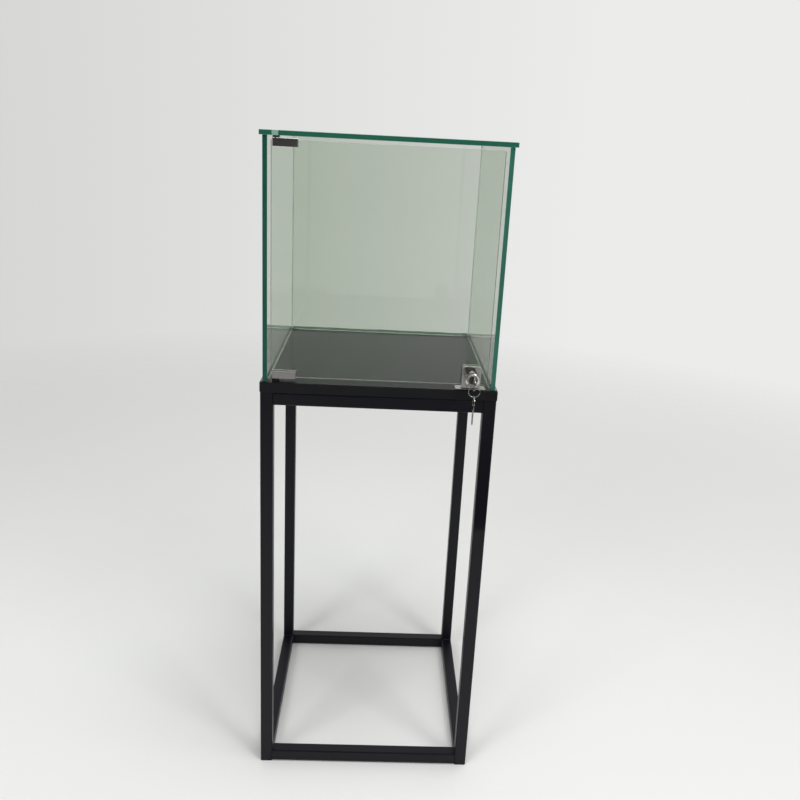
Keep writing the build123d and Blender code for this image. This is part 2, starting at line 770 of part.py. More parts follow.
spare_shoulder_z = ring_bottom_z - ring_hang - key_hole_centre
spare_plane = Plane(origin=(lock_x, ring_y, spare_shoulder_z), x_dir=(0, 0, -1), z_dir=(1, 0, 0))
spare_key = make_key(spare_plane)
spare_key.part.label = "spare_key"
export_step(spare_key.part, "parts/spare_key.step")

ring_plane = Plane(origin=(lock_x, ring_y, ring_centre_z), x_dir=(1, 0, 0), z_dir=(0, 0, 1))
with BuildPart() as key_ring:
    with BuildSketch(ring_plane):
        with Locations((ring_radius, 0)):
            RectangleRounded(ring_wire, ring_thickness, ring_round)
    revolve(axis=Axis((lock_x, ring_y, ring_centre_z), (0, 1, 0)))
key_ring.part.label = "key_ring"
export_step(key_ring.part, "parts/key_ring.step")

# ================================================================ strike
with BuildPart() as strike_plate:
    with BuildSketch(Plane.XY.offset(deck_top)):
        with Locations((lock_x, strike_y)):
            RectangleRounded(strike_length, strike_depth, strike_corner)
        with Locations((lock_x, bolt_y)):
            Rectangle(strike_slot_length, strike_slot_width, mode=Mode.SUBTRACT)
    extrude(amount=strike_t)
    chamfer(strike_plate.faces().sort_by(Axis.Z)[-1].outer_wire().edges(), strike_bevel)
    with Locations(Plane.XY.offset(deck_top + strike_t)):
        with Locations((lock_x, strike_screw_y)):
            with GridLocations(strike_screw_spacing, 1, 2, 1):
                CounterSinkHole(strike_screw_radius, strike_screw_head)
strike_plate.part.label = "strike_plate"
export_step(strike_plate.part, "parts/strike_plate.step")

# Strike screws: flat heads, flush with the strike.
with BuildPart() as strike_screws:
    head_drop = strike_screw_head - strike_screw_radius
    screw_plane = Plane(
        origin=(lock_x - strike_screw_spacing / 2, strike_screw_y, deck_top + strike_t),
        x_dir=(1, 0, 0),
        z_dir=(0, -1, 0),
    )
    with BuildSketch(screw_plane):
        with BuildLine():
            Polyline(
                (0, 0),
                (strike_screw_head, 0),
                (strike_screw_radius, -head_drop),
                (strike_screw_radius, strike_screw_point - strike_screw_length),
                (0, -strike_screw_length),
                close=True,
            )
        make_face()
    revolve(axis=Axis(screw_plane.origin, (0, 0, 1)))
    with BuildSketch(Plane.XY.offset(deck_top + strike_t)):
        with Locations((lock_x - strike_screw_spacing / 2, strike_screw_y)):
            Rectangle(strike_recess_length, strike_recess_width)
            Rectangle(strike_recess_width, strike_recess_length)
    extrude(amount=-strike_recess_depth, mode=Mode.SUBTRACT)
    mirror(about=Plane.YZ.offset(lock_x))
strike_screws.part.label = "strike_screws"
export_step(strike_screws.part, "parts/strike_screws.step")

turn_ratio = bolt_throw / 1000 / (cam_turn * pi / 180)
print(f"pivot axis x {pivot_x} y {pivot_y}; barrel axis x {lock_x} z {barrel_z}")
print(f"ring hinge y {ring_y} z {ring_top_z}; spare key hinge z {ring_bottom_z}")
print(f"bolt travel per radian of key turn {turn_ratio:.7f} m")
print(f"lock y {lock_front} to {lock_rear}; clips y {clip_front} to {clip_rear}; wall top {wall_top}")
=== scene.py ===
import json
import math
import random

import bmesh
import bpy
from mathutils import Matrix, Vector, noise


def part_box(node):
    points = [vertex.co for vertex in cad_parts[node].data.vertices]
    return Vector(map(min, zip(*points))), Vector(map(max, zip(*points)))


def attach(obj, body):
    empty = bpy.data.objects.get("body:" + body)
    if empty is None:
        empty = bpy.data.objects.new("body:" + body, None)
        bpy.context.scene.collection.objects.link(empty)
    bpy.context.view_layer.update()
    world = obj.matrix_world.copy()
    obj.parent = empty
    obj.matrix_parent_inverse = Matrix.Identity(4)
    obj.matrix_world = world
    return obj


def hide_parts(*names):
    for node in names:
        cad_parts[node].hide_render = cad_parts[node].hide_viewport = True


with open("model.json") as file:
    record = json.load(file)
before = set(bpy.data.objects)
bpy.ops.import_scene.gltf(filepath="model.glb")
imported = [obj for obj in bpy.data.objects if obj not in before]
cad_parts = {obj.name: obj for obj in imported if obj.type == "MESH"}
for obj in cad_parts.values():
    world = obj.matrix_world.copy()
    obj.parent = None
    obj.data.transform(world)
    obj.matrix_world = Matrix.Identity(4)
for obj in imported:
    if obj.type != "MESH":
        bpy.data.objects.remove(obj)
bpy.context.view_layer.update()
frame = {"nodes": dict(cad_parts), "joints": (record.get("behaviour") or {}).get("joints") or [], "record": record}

# A glass display case on a black steel stand.  Everything is in metres, in the frame of
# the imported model: X to the right seen from the door, Y away to the back, Z up.

mm = 0.001
nodes = frame["nodes"]
joints = {joint["name"]: joint for joint in frame["joints"]}
scene = bpy.context.scene

# ---------------------------------------------------------------- driving values
# Glass
glue_line = 0.1 * mm  # bonded glass edges stop this far short of their neighbours
arris = 0.45 * mm  # the ground bevel along a pane's edges
pane_corner = 2.5 * mm
door_corner = 3.5 * mm
bush_hole_radius = 5.0 * mm

# Sealant
bead_clearance = 0.06 * mm  # keeps the sealant's faces off the glass and the deck
bead_step = 2.5 * mm  # from one section of a bead to the next
bead_hollow = 0.45  # from 0, a straight face, to 1, a quarter circle cut out of it
bead_end = 0.45  # the share of its size that a bead has at its very ends
bead_taper = 3.5 * mm  # its ends grow at the rate of a whole bead in this length
waver_rate = 28  # how fast a bead's size wanders along it, per metre
swell_rate = 90  # and how fast the finer part of that is
squeeze_size = 2.0 * mm  # the line of sealant that squeezed out inside the case
squeeze_short = 12.0 * mm  # that line stops this far short of the bead's ends

# Welds
weld_leg = 2.1 * mm
weld_ripple = 1.3 * mm  # from one ripple of a weld to the next
weld_step = 0.4 * mm  # from one section of a weld to the next
weld_root = 0.2 * mm  # a weld's root lies this deep in the steel
weld_end = 0.4  # the share of its size that a weld has at its very ends
weld_taper = 1.5 * mm  # and its ends grow in the same way as a bead's
drift_rate = 180  # how fast a weld's size wanders, per metre
tube_corner = 2.5 * mm  # the tube's rounded corners, which the welds stop short of

# Ring and keys
ring_wire = 1.2 * mm  # across the wire of the key ring, along the ring's radius
ring_wire_corner = 0.22 * mm
ring_end_gap = math.radians(17)  # from the ring's step to each end of its wire
bow_recess_radius = 5.4 * mm
bow_recess_depth = 0.3 * mm
key_edge = 0.16 * mm  # the rounding of a key's edges

# Floor, light and camera
floor_radius = 7.0
floor_fade = (0.8, 3.4)  # the floor fades out between these distances from its middle
world_strength = 0.9
camera_place = Vector((-8.9, -1494.6, 1174.7)) * mm
camera_pitch = math.radians(16.86)
camera_yaw = math.radians(2.31)
camera_roll = math.radians(2.99)
camera_lens = 36.5
camera_shift = (-0.007, -0.025)

# Axes, and the ends of a pane: an axis, and which end of it.
x_axis, y_axis, z_axis = range(3)
left_end = (x_axis, -1)
right_end = (x_axis, 1)
foot = (z_axis, -1)
head = (z_axis, 1)

mix_a, mix_b, mix_result = 6, 7, 2  # the colour sockets of a Mix node


# ================================================================ node helpers
class Shade:
    """A material being built: its nodes, its links and its Principled shader."""

    def __init__(self, name):
        self.material = bpy.data.materials.new(name)
        self.material.use_nodes = True
        self.tree = self.material.node_tree
        self.tree.nodes.clear()
        self.output = self.add("ShaderNodeOutputMaterial")
        self.shader = self.add("ShaderNodeBsdfPrincipled")
        self.link(self.shader.outputs["BSDF"], self.output.inputs["Surface"])
        self.place = self.add("ShaderNodeTexCoord").outputs["Object"]

    def add(self, kind):
        return self.tree.nodes.new(kind)

    def link(self, source, target):
        self.tree.links.new(source, target)

    def set(self, **values):
        """Set uniform values on the Principled shader's own sockets."""
        for name, value in values.items():
            self.shader.inputs[name.replace("_", " ")].default_value = value

    def stretched(self, scale):
        """Coordinates scaled along each axis."""
        node = self.add("ShaderNodeMapping")
        node.inputs["Scale"].default_value = scale
        self.link(self.place, node.inputs["Vector"])
        return node.outputs["Vector"]

    def axes(self, source):
        """A vector's X, Y and Z."""
        node = self.add("ShaderNodeSeparateXYZ")
        self.link(source, node.inputs["Vector"])
        return node.outputs

    def geometry(self, name):
        return self.add("ShaderNodeNewGeometry").outputs[name]

    def noise(self, scale, detail=3.0, roughness=0.55, source=None):
        """A noise texture, whose scale is features per metre."""
        node = self.add("ShaderNodeTexNoise")
        node.inputs["Scale"].default_value = scale
        node.inputs["Detail"].default_value = detail
        node.inputs["Roughness"].default_value = roughness
        self.link(source or self.place, node.inputs["Vector"])
        return node.outputs["Fac"]

    def cells(self, scale):
        """The distance to the nearest of scattered points, for specks."""
        node = self.add("ShaderNodeTexVoronoi")
        node.inputs["Scale"].default_value = scale
        self.link(self.place, node.inputs["Vector"])
        return node.outputs["Distance"]

    def remap(self, value, low, high, to_low=0.0, to_high=1.0):
        """Map a value's range onto another, held at its ends."""
        node = self.add("ShaderNodeMapRange")
        node.inputs["From Min"].default_value = low
        node.inputs["From Max"].default_value = high
        node.inputs["To Min"].default_value = to_low
        node.inputs["To Max"].default_value = to_high
        self.link(value, node.inputs["Value"])
        return node.outputs["Result"]

    def maths(self, operation, *values):
        """Work out one value from others, each a number or linked."""
        node = self.add("ShaderNodeMath")
        node.operation = operation
        for socket, value in zip(node.inputs, values):
            if isinstance(value, (int, float)):
                socket.default_value = value
            else:
                self.link(value, socket)
        return node.outputs["Value"]

    def mix(self, factor, a, b):
        """Mix two colours, each plain or linked."""
        node = self.add("ShaderNodeMix")
        node.data_type = "RGBA"
        self.link(factor, node.inputs["Factor"])
        for socket, value in ((node.inputs[mix_a], a), (node.inputs[mix_b], b)):
            if isinstance(value, tuple):
                socket.default_value = (*value, 1.0)
            else:
                self.link(value, socket)
        return node.outputs[mix_result]

    def bump(self, height, distance, strength=1.0):
        """Drive the shader's normal from a height, with its depth in metres."""
        node = self.add("ShaderNodeBump")
        node.inputs["Distance"].default_value = distance
        node.inputs["Strength"].default_value = strength
        self.link(height, node.inputs["Height"])
        self.link(node.outputs["Normal"], self.shader.inputs["Normal"])

    def colour(self, source):
        self.link(source, self.shader.inputs["Base Color"])

    def roughness(self, source):
        self.link(source, self.shader.inputs["Roughness"])

    def see_through(self, share, tint=(1.0, 1.0, 1.0)):
        """Replace a share of the Principled shader by a transparent one."""
        clear = self.add("ShaderNodeBsdfTransparent")
        clear.inputs["Color"].default_value = (*tint, 1.0)
        either = self.add("ShaderNodeMixShader")
        factor, solid, open_side = either.inputs
        self.link(share, factor)
        self.link(self.shader.outputs["BSDF"], solid)
        self.link(clear.outputs["BSDF"], open_side)
        self.link(either.outputs["Shader"], self.output.inputs["Surface"])


# ================================================================ materials
def powder_coat():
    """Satin black powder coat: a fine orange peel, faint dust and handling marks."""
    look = Shade("black_powder_coat")
    look.set(IOR=1.45, Specular_IOR_Level=0.28)
    handling = look.noise(7.0, 4.0)
    dust = look.remap(look.noise(160.0, 5.0, 0.7), 0.6, 0.82, 0.0, 0.4)
    worn = look.remap(handling, 0.35, 0.7)
    base = look.mix(worn, (0.0040, 0.0042, 0.0076), (0.0062, 0.0064, 0.0106))
    look.colour(look.mix(dust, base, (0.020, 0.020, 0.021)))
    look.roughness(look.remap(handling, 0.3, 0.7, 0.33, 0.45))
    fine = look.maths("MULTIPLY", look.noise(2600.0, 1.0), 0.3)
    peel = look.maths("ADD", look.noise(850.0, 2.0, 0.5), fine)
    look.bump(peel, 0.06 * mm, 0.55)
    return look.material


def deck_lacquer():
    """Black lacquer on the deck: nearly smooth, with hairline rubs and a little dust.

    The upright edges of the board are a lighter, greyer black than its top, and less glossy.
    """
    look = Shade("black_deck_lacquer")
    look.set(IOR=1.5, Specular_IOR_Level=0.10)
    cloud = look.noise(5.0, 5.0)
    rub = look.noise(60.0, 6.0, 0.75, look.stretched((1.0, 9.0, 1.0)))
    specks = look.remap(look.cells(420.0), 0.02, 0.09, 0.35, 0.0)
    worn = look.remap(cloud, 0.35, 0.7)
    base = look.mix(worn, (0.0045, 0.0045, 0.0055), (0.0080, 0.0080, 0.0092))
    top = look.mix(specks, base, (0.06, 0.06, 0.06))
    upright_black = look.mix(look.noise(24.0, 4.0), (0.0100, 0.0102, 0.0118), (0.0138, 0.0140, 0.0160))
    flat = look.maths("GREATER_THAN", look.axes(look.geometry("Normal"))["Z"], 0.5)
    look.colour(look.mix(flat, upright_black, top))
    gloss = look.remap(look.maths("ADD", cloud, rub), 0.7, 1.3, 0.08, 0.20)
    look.roughness(look.maths("MAXIMUM", gloss, look.remap(flat, 0.0, 1.0, 0.42, 0.0)))
    look.bump(look.noise(300.0, 3.0), 0.02 * mm, 0.5)
    return look.material


def clear_glass():
    """The big faces of float glass: a pale green body with a very faint roller wave."""
    look = Shade("float_glass")
    look.set(IOR=1.5, Roughness=0.0, Transmission_Weight=1.0)
    look.colour(look.mix(look.noise(3.0, 2.0), (0.842, 0.893, 0.836), (0.862, 0.908, 0.855)))
    look.bump(look.noise(9.0, 1.0), 0.05 * mm, 0.25)
    paths = look.add("ShaderNodeLightPath")
    look.see_through(paths.outputs["Is Shadow Ray"], (0.88, 0.925, 0.885))
    return look.material


def glass_edge(name, deep, light, within=(0.36, 0.46, 0.39), painted_hole_view=None):
    """Polished glass edges: dark green, in long bands that run along the edge, and painted lighter towards the
    arrises, a painted highlight.

    Seen from inside the pane, an edge lets the light behind it in: within is that colour.
    The last argument is a centre and a half width in X where a pale patch is painted: the bush's hole seen through
    the edge, a painted view of it.
    """
    look = Shade(name)
    look.set(IOR=1.5, Specular_IOR_Level=0.4, Coat_Weight=0.35, Coat_Roughness=0.05)
    across = look.add("ShaderNodeAttribute")
    across.attribute_name = "across"
    # Painted highlight: the edge's colour is lighter towards its arrises.
    rim = look.remap(look.maths("ABSOLUTE", across.outputs["Fac"]), 0.55, 1.0)
    bands = look.remap(look.noise(5.0, 4.0, 0.6), 0.3, 0.7, 0.0, 0.45)
    fine = look.noise(90.0, 3.0, 0.6)
    tone = look.maths("ADD", look.maths("MULTIPLY", rim, 0.45), bands)
    tone = look.maths("ADD", tone, look.remap(fine, 0.35, 0.65, -0.08, 0.08))
    colour = look.mix(tone, deep, light)
    # A pale patch painted near the pivot: the bush's hole seen through the edge, a painted view of it.
    if painted_hole_view:
        centre, half = painted_hole_view
        place = look.axes(look.place)
        off = look.maths("ABSOLUTE", look.maths("SUBTRACT", place["X"], centre))
        near = look.remap(off, half * 0.85, half * 1.1, 1.0, 0.0)
        front = look.remap(place["Y"], -0.1, -0.19)
        rung = look.remap(look.noise(420.0, 2.0), 0.4, 0.6, 0.55, 0.95)
        shown = look.maths("MULTIPLY", look.maths("MULTIPLY", near, front), rung)
        colour = look.mix(shown, colour, (0.30, 0.50, 0.42))
    dim_within = tuple(0.85 * part for part in within)
    pale_within = tuple(1.15 * part for part in within)
    uneven = look.mix(fine, dim_within, pale_within)
    look.colour(look.mix(look.geometry("Backfacing"), colour, uneven))
    look.roughness(look.remap(fine, 0.3, 0.7, 0.10, 0.2))
    look.bump(look.noise(700.0, 2.0), 0.015 * mm, 0.4)
    return look.material


def bonded_edge(name, dim, pale):
    """Edges that are bonded to a pane or to the deck, a little cloudy with glue."""
    look = Shade(name)
    look.set(IOR=1.5, Specular_IOR_Level=0.4)
    cloud = look.noise(60.0, 5.0, 0.65)
    look.colour(look.mix(look.remap(cloud, 0.3, 0.7), dim, pale))
    look.roughness(look.remap(cloud, 0.3, 0.7, 0.25, 0.5))
    look.bump(look.noise(500.0, 3.0), 0.03 * mm, 0.4)
    return look.material


def plated(name, colour, dark, rough_low, rough_high, grain=None):
    """Bright plated metal: a slightly uneven sheen, with grain where it was brushed."""
    look = Shade(name)
    look.set(Metallic=1.0)
    cloud = look.noise(55.0, 4.0)
    look.colour(look.mix(look.remap(cloud, 0.35, 0.75), colour, dark))
    if grain:
        marks = look.noise(1200.0, 3.0, 0.6, look.stretched(grain))
    else:
        marks = look.noise(900.0, 3.0, 0.7)
    look.roughness(look.remap(look.maths("ADD", cloud, marks), 0.7, 1.3, rough_low, rough_high))
    look.bump(marks, 0.012 * mm, 0.5 if grain else 0.2)
    return look.material


def moulded(name, colour, light, rough):
    """Moulded plastic: a faint mottle and a fine mould texture."""
    look = Shade(name)
    look.colour(look.mix(look.noise(140.0, 4.0), colour, light))
    look.roughness(look.remap(look.noise(400.0, 3.0), 0.3, 0.7, rough - 0.06, rough + 0.08))
    look.bump(look.noise(1500.0, 2.0), 0.03 * mm, 0.4)
    return look.material


def sealant():
    """Clear silicone over black: dim, and cloudy in places."""
    look = Shade("clear_sealant")
    look.set(IOR=1.41, Subsurface_Weight=0.2, Subsurface_Radius=(0.002, 0.002, 0.002))
    cloud = look.noise(120.0, 4.0)
    look.colour(look.mix(cloud, (0.105, 0.125, 0.108), (0.185, 0.215, 0.190)))
    look.roughness(look.remap(cloud, 0.3, 0.7, 0.22, 0.38))
    look.bump(look.noise(260.0, 3.0), 0.15 * mm, 0.5)
    return look.material


pivot = Vector(joints["door_swing"]["pos_m"])
black_steel = powder_coat()
glass_face = clear_glass()
# The panes' edges are one glass painted in three tones: the left edge darker, a painted shade, the right edge
# lighter, a painted light, and the top edge between them.
shaded_left_edge = glass_edge("left_glass_edge_painted_shade", (0.006, 0.066, 0.043), (0.016, 0.125, 0.090))
lit_right_edge = glass_edge("right_glass_edge_painted_light", (0.022, 0.118, 0.083), (0.048, 0.205, 0.150))
top_edge = glass_edge(
    "top_glass_edge", (0.014, 0.098, 0.062), (0.030, 0.170, 0.118),
    painted_hole_view=(pivot.x, bush_hole_radius),
)
# The door's edges are painted pale grey, a painted highlight for the light its polished edges catch.
lit_door_edge = glass_edge(
    "door_glass_edge_painted_light", (0.22, 0.25, 0.23), (0.44, 0.49, 0.46), within=(0.15, 0.155, 0.14)
)
joined_edge = bonded_edge("bonded_glass_edge", (0.24, 0.31, 0.26), (0.40, 0.47, 0.42))
# Edges bedded on the deck are painted dark, a painted shade along the foot of each pane.
shaded_bedded_edge = bonded_edge("bedded_glass_edge_painted_shade", (0.030, 0.050, 0.034), (0.065, 0.095, 0.070))
key_metal = plated("key_nickel", (0.56, 0.55, 0.52), (0.42, 0.41, 0.39), 0.12, 0.24)
dark_plug = plated("dark_plug", (0.17, 0.175, 0.16), (0.10, 0.105, 0.095), 0.16, 0.26)
ring_steel = plated("ring_steel", (0.46, 0.46, 0.46), (0.34, 0.34, 0.35), 0.10, 0.20)
clear_sealant = sealant()

finishes = {
    "black_steel": black_steel,
    "foot_plastic": moulded(
        "foot_plastic", (0.008, 0.008, 0.008), (0.016, 0.016, 0.016), 0.5
    ),
    "deck_black": deck_lacquer(),
    "float_glass": glass_face,
    "clear_sealant": clear_sealant,
    "chrome": plated("chrome_plate", (0.74, 0.725, 0.72), (0.62, 0.60, 0.605), 0.07, 0.16),
    "liner_plastic": moulded(
        "liner_plastic", (0.045, 0.047, 0.045), (0.075, 0.078, 0.074), 0.4
    ),
    "bush_nylon": moulded("bush_nylon", (0.010, 0.010, 0.011), (0.022, 0.022, 0.024), 0.35),
    "plated_steel": plated(
        "nickel_plate", (0.70, 0.69, 0.66), (0.56, 0.55, 0.53), 0.16, 0.30,
        grain=(1.0, 14.0, 14.0),
    ),
    "screw_steel": plated("zinc_plate", (0.58, 0.58, 0.58), (0.42, 0.42, 0.43), 0.25, 0.42),
    "wafer_brass": plated("stamped_brass", (0.78, 0.60, 0.32), (0.62, 0.45, 0.22), 0.2, 0.35),
    "key_nickel": key_metal,
}
for row in frame["record"]["subparts"]:
    materials = nodes[row["node"]].data.materials
    materials.clear()
    materials.append(finishes[row["material_slot"]])
nodes["lock_plug"].data.materials[0] = dark_plug


# ================================================================ mesh helpers
def in_scene(name, data):
    """Put a mesh, a light or a camera in the scene as an object."""
    thing = bpy.data.objects.new(name, data)
    scene.collection.objects.link(thing)
    return thing


def new_piece(name, mesh, materials):
    """Put a mesh in the scene as a piece with its materials."""
    for material in materials:
        mesh.materials.append(material)
    return in_scene(name, mesh)


def mesh_of(bm, name):
    """Turn a bmesh into a mesh with its normals facing outwards."""
    bmesh.ops.recalc_face_normals(bm, faces=bm.faces)
    return flat_mesh_of(bm, name)


def flat_mesh_of(bm, name):
    """Turn a bmesh into a mesh as it is."""
    mesh = bpy.data.meshes.new(name)
    bm.to_mesh(mesh)
    bm.free()
    return mesh


def modified_mesh(thing):
    """The mesh of an object after its modifiers.  The object itself is removed."""
    shape = thing.evaluated_get(bpy.context.evaluated_depsgraph_get())
    mesh = bpy.data.meshes.new_from_object(shape)
    bpy.data.objects.remove(thing)
    return mesh


def solid_box(low, high):
    """A box between two corners."""
    bm = bmesh.new()
    bmesh.ops.create_cube(bm, size=1.0)
    middle = (low + high) / 2
    size = high - low
    for vertex in bm.verts:
        vertex.co = Vector(c * s + m for c, s, m in zip(vertex.co, size, middle))
    return bm


def drill(mesh, cutter):
    """Take a cutter's mesh out of another mesh."""
    body = in_scene("body", mesh)
    tool = in_scene("tool", cutter)
    cut = body.modifiers.new("cut", "BOOLEAN")
    cut.operation = "DIFFERENCE"
    cut.solver = "EXACT"
    cut.object = tool
    result = modified_mesh(body)
    bpy.data.objects.remove(tool)
    return result


def loft(bm, sections):
    """Join a row of closed sections, each a list of points, and close both ends."""
    rings = [[bm.verts.new(point) for point in section] for section in sections]
    for before, after in zip(rings, rings[1:]):
        for i, vertex in enumerate(before):
            j = (i + 1) % len(before)
            bm.faces.new((vertex, before[j], after[j], after[i]))
    bm.faces.new(rings[0])
    bm.faces.new(reversed(rings[-1]))


def smooth(mesh, angle):
    """Shade a mesh smoothly, apart from edges sharper than an angle in degrees."""
    mesh.shade_smooth()
    mesh.set_sharp_from_angle(angle=math.radians(angle))


def end_share(travel, run, least, taper):
    """The share of its full size that a bead or a weld has, which is least at its ends."""
    return min(1.0, least + min(travel, run - travel) / taper)


# ================================================================ glass panes
clear_slot, polished_slot, joined_slot, bedded_slot = range(4)  # a pane's materials
squarely = 0.99  # a cosine above this says that a direction is along an axis
nearly = 0.9  # and above this, that it is within about 25 degrees of the axis


def pane_slot(normal, across, glued):
    """The material of a pane's face, by the way it faces."""
    if abs(normal.dot(across)) > squarely:
        return clear_slot
    for axis, end in glued:
        if normal[axis] * end > nearly:
            return bedded_slot if (axis, end) == foot else joined_slot
    return polished_slot


def make_pane(name, node, thin, edge, corner=0.0, glued=(), hole=None):
    """A pane in place of a CAD pane: ground arrises, polished edges and clear faces.

    thin is the axis across the pane.  glued lists the ends that are bonded.
    hole is the centre of an upright hole for the bush.
    """
    low, high = (box_corner.copy() for box_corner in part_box(node))
    for axis, end in glued:
        if end > 0:
            high[axis] -= glue_line
        else:
            low[axis] += glue_line
    thickness = high[thin] - low[thin]
    bm = solid_box(low, high)
    across = Vector((thin == x_axis, thin == y_axis, thin == z_axis))
    if corner:
        corner_edges = [
            e for e in bm.edges
            if abs((e.verts[0].co - e.verts[1].co).normalized().dot(across)) > squarely
        ]
        bmesh.ops.bevel(
            bm, geom=corner_edges, offset=corner, segments=8, profile=0.5, affect="EDGES"
        )
    mesh = mesh_of(bm, name)
    if hole:
        cutter = bmesh.new()
        bmesh.ops.create_cone(
            cutter, cap_ends=True, segments=64, radius1=bush_hole_radius,
            radius2=bush_hole_radius, depth=2 * thickness,
        )
        bmesh.ops.translate(cutter, verts=cutter.verts, vec=hole)
        mesh = drill(mesh, mesh_of(cutter, "cutter"))
    bm = bmesh.new()
    bm.from_mesh(mesh)
    rims = [
        e for e in bm.edges
        if len(e.link_faces) == 2
        and sum(abs(f.normal.dot(across)) > squarely for f in e.link_faces) == 1
    ]
    bmesh.ops.bevel(bm, geom=rims, offset=arris, segments=2, profile=0.6, affect="EDGES")
    mesh = mesh_of(bm, name)
    centre = (high[thin] + low[thin]) / 2
    half = thickness / 2
    share = mesh.attributes.new("across", "FLOAT", "POINT")
    share.data.foreach_set("value", [(v.co[thin] - centre) / half for v in mesh.vertices])
    pane = new_piece(name, mesh, [glass_face, edge, joined_edge, shaded_bedded_edge])
    for face in mesh.polygons:
        face.material_index = pane_slot(face.normal, across, glued)
    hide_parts(node)
    return pane


top_low, top_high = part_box("top_glass")
bush_hole = Vector((pivot.x, pivot.y, (top_low.z + top_high.z) / 2))
top_pane = make_pane("top_pane", "top_glass", z_axis, top_edge, pane_corner, hole=bush_hole)
left_pane = make_pane("left_pane", "left_glass", x_axis, shaded_left_edge, glued=[head, foot])
right_pane = make_pane("right_pane", "right_glass", x_axis, lit_right_edge, glued=[head, foot])
back_pane = make_pane(
    "back_pane", "back_glass", y_axis, joined_edge, glued=[right_end, left_end, head, foot]
)
door_pane = make_pane("door_pane", "door_glass", y_axis, lit_door_edge, door_corner)
for pane in (top_pane, left_pane, right_pane, back_pane):
    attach(pane, "stand")
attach(door_pane, "door")


# ================================================================ sealant
def draw_sealant(bm, start, end, outward, width, height, seed):
    """A fillet of sealant drawn along by hand, so its width and height waver."""
    run = (end - start).length
    along = (end - start) / run
    up = Vector((0, 0, 1))
    steps = round(run / bead_step)
    sections = []
    for i in range(steps + 1):
        travel = run * i / steps
        waver = noise.noise(Vector((travel * waver_rate, seed, 0)))
        swell = noise.noise(Vector((travel * swell_rate, seed, 5)))
        end_taper = end_share(travel, run, bead_end, bead_taper)
        across = width * (0.84 + 0.12 * waver + 0.04 * swell) * end_taper
        rise = height * (0.82 + 0.13 * waver + 0.05 * swell) * end_taper
        root = start + along * travel + (outward + up) * bead_clearance
        section = [root]
        for degrees in range(0, 91, 15):  # from the deck up to the wall
            angle = math.radians(degrees)
            sine = math.sin(angle)
            cosine = math.cos(angle)
            away = bead_hollow * (1 - sine) + (1 - bead_hollow) * cosine ** 2
            lift = bead_hollow * (1 - cosine) + (1 - bead_hollow) * sine ** 2
            section.append(root + outward * across * away + up * rise * lift)
        sections.append(section)
    loft(bm, sections)


def sealed_joint(place, wall, outward, seed):
    """The sealant under one wall: the outer fillet, and what squeezed out inside."""
    node = f"{place}_sealant_bead"
    low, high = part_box(node)
    axis = x_axis if outward.x else y_axis
    along = 1 - axis
    side = outward[axis]
    start, end = low.copy(), Vector((high.x, high.y, low.z))
    start[axis] = end[axis] = high[axis] if side < 0 else low[axis]
    size = high - low
    bm = bmesh.new()
    draw_sealant(bm, start, end, outward, size[axis], size.z, seed)
    wall_low, wall_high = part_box(wall)
    start[axis] = end[axis] = wall_high[axis] if side < 0 else wall_low[axis]
    start[along] += squeeze_short
    end[along] -= squeeze_short
    draw_sealant(bm, start, end, -outward, squeeze_size, squeeze_size, seed + 40)
    mesh = mesh_of(bm, f"{place}_bead")
    smooth(mesh, 50.0)
    bead = new_piece(f"{place}_bead", mesh, [clear_sealant])
    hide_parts(node)
    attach(bead, "stand")


sealed_joint("left", "left_glass", Vector((-1, 0, 0)), 0.0)
sealed_joint("right", "right_glass", Vector((1, 0, 0)), 3.7)
sealed_joint("rear", "back_glass", Vector((0, 1, 0)), 9.1)


# ================================================================ welds
def weld(bm, start, end, side_a, side_b, draws):
    """A rippled weld in the corner between two directions."""
    run = (end - start).length
    along = (end - start) / run
    steps = round(run / weld_step)
    arc = [math.radians(90) * i / 5 for i in range(6)]
    fullness = 1.5  # 1 would be a round weld, 2 a flat one
    phase = draws.uniform(0, math.pi)
    sections = []
    for i in range(steps + 1):
        travel = run * i / steps
        ripple = abs(math.sin(phase + math.pi * travel / weld_ripple))
        drift = noise.noise((start + along * travel) * drift_rate)
        end_taper = end_share(travel, run, weld_end, weld_taper)
        leg = weld_leg * (0.86 + 0.10 * ripple + 0.14 * drift) * end_taper
        root = start + along * travel - (side_a + side_b) * weld_root
        section = [root]
        for angle in arc:
            reach_a = leg * math.cos(angle) ** fullness
            reach_b = leg * math.sin(angle) ** fullness
            section.append(root + side_a * reach_a + side_b * reach_b)
        sections.append(section)
    loft(bm, sections)


def weld_rail_end(bm, rail, axis, open_side, draws):
    """The welds across both ends of a rail, on its face inside the frame."""
    low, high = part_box(rail)
    across = 1 - axis
    for end, inwards in ((low, 1), (high, -1)):
        start = Vector((0, 0, high.z if open_side > 0 else low.z))
        start[axis] = end[axis]
        finish = start.copy()
        start[across] = low[across] + tube_corner
        finish[across] = high[across] - tube_corner
        along_rail = Vector((0, 0, 0))
        along_rail[axis] = inwards
        weld(bm, start, finish, along_rail, Vector((0, 0, open_side)), draws)


